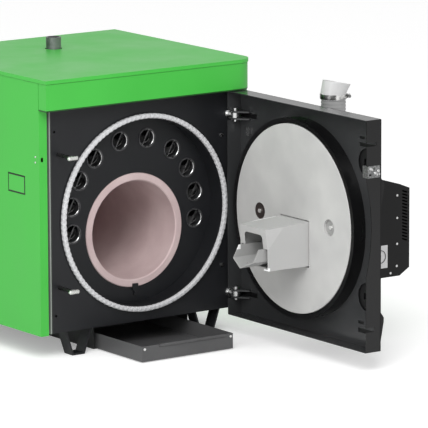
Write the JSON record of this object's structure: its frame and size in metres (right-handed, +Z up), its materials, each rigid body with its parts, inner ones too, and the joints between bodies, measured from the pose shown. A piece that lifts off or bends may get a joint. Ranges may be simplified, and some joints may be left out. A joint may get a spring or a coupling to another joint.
{
  "type": "pellet boiler",
  "caption": "Floor-standing pellet boiler with a tube heat exchanger, ash drawer and swing-open insulated door carrying the pellet burner.",
  "frame": {"origin": "centre of the whole object's footprint, on the floor, with the door open as pictured", "axes": "+X to the right seen from the front, +Y to the back, +Z up"},
  "size_m": [0.905, 1.3566, 0.795],
  "materials": {
    "green_paint": "smooth satin powder coat",
    "plate_black": "satin black stove paint",
    "door_black": "glossy black powder coat",
    "steel_dark": "dark heat-resisting paint",
    "steel_bare": "bare mill steel",
    "zinc": "bright zinc plating",
    "stainless": "heat-resisting stainless sheet",
    "rope_white": "braided ceramic fibre rope",
    "fireclay": "pressed fireclay",
    "vermiculite": "smooth pressed insulating board",
    "wool": "mineral wool",
    "drawer_grey": "dark grey sheet",
    "strip_grey": "light grey sheet",
    "hose_grey": "ribbed grey plastic",
    "boot_clear": "milky translucent plastic",
    "plastic_black": "black moulded plastic",
    "plastic_grey": "dark grey moulded plastic",
    "motor_grey": "cast motor body"
  },
  "bodies": {
    "boiler": {"water_shell": "steel_bare", "front_plate": "plate_black", "plug_screws": "zinc", "seal_channel": "plate_black", "seal_rope": "rope_white", "front_tube_sheet": "steel_dark", "rear_tube_sheet": "steel_bare", "furnace_tube": "steel_bare", "ceramic_lining": "fireclay", "lining_clip": "zinc", "fire_tubes": "steel_dark", "turbulators": "steel_bare", "smoke_box": "steel_bare", "flue_spigot": "steel_dark", "supply_socket": "steel_bare", "return_socket": "steel_bare", "drain_socket": "steel_bare", "base_pan": "steel_dark", "insulation_wrap": "wool", "casing_left": "green_paint", "casing_right": "green_paint", "side_flap": "green_paint", "header": "green_paint", "top_cover": "green_paint", "back_panel": "strip_grey", "frame_posts": "strip_grey", "control_unit": "plastic_grey", "studs": "zinc", "hinge_eye_bolts": "zinc", "hinge_nuts": "zinc", "feet": "plate_black", "drawer_housing": "drawer_grey"},
    "door": {"door_tray": "door_black", "door_skin": "door_black", "door_dish": "door_black", "insulation_disc": "vermiculite", "disc_fixings": "zinc", "hinge_forks": "door_black", "hinge_pins": "zinc", "latch_blank": "zinc", "lock_housings": "plastic_black", "lock_case": "zinc", "burner_box": "stainless", "burner_flange": "steel_bare", "burner_cover": "door_black", "door_screws": "zinc", "power_socket": "plastic_black", "feed_pipe": "hose_grey", "feed_boot": "boot_clear", "hose_clamp": "zinc", "clamp_screw": "zinc", "auger_motor": "motor_grey", "fan_housing": "plastic_grey", "igniter": "stainless"},
    "handle_upper": {"handle_upper": "plastic_black"},
    "handle_lower": {"handle_lower": "plastic_black"},
    "drawer": {"ash_drawer": "drawer_grey"},
    "grate": {"burner_grate": "stainless"},
    "feed_screw": {"auger": "steel_bare"},
    "fan": {"fan_wheel": "plastic_grey"}
  },
  "joints": [
    {"name": "door_swing", "type": "hinge", "parent": "boiler", "child": "door", "pos_m": [0.1725, -0.06075, 0.367], "axis": [0, 0, 1], "range_deg": [-90, 20]},
    {"name": "upper_lock_turn", "type": "hinge", "parent": "door", "child": "handle_upper", "pos_m": [0.2145, -0.62075, 0.554], "axis": [-1, 0, 0], "range_deg": [0, 90]},
    {"name": "lower_lock_turn", "type": "hinge", "parent": "door", "child": "handle_lower", "pos_m": [0.2145, -0.62075, 0.193], "axis": [-1, 0, 0], "range_deg": [0, 90]},
    {"name": "drawer_slide", "type": "slide", "parent": "boiler", "child": "drawer", "axis": [0, 1, 0], "range_m": [0, 0.216]},
    {"name": "grate_slide", "type": "slide", "parent": "door", "child": "grate", "axis": [1, 0, 0], "range_m": [0, 0.04]},
    {"name": "feed_screw_spin", "type": "hinge", "parent": "door", "child": "feed_screw", "pos_m": [0.2895, -0.35375, 0.331], "axis": [1, 0, 0], "continuous": true},
    {"name": "fan_spin", "type": "hinge", "parent": "door", "child": "fan", "pos_m": [0.3095, -0.26375, 0.259], "axis": [0, 1, 0], "continuous": true}
  ]
}
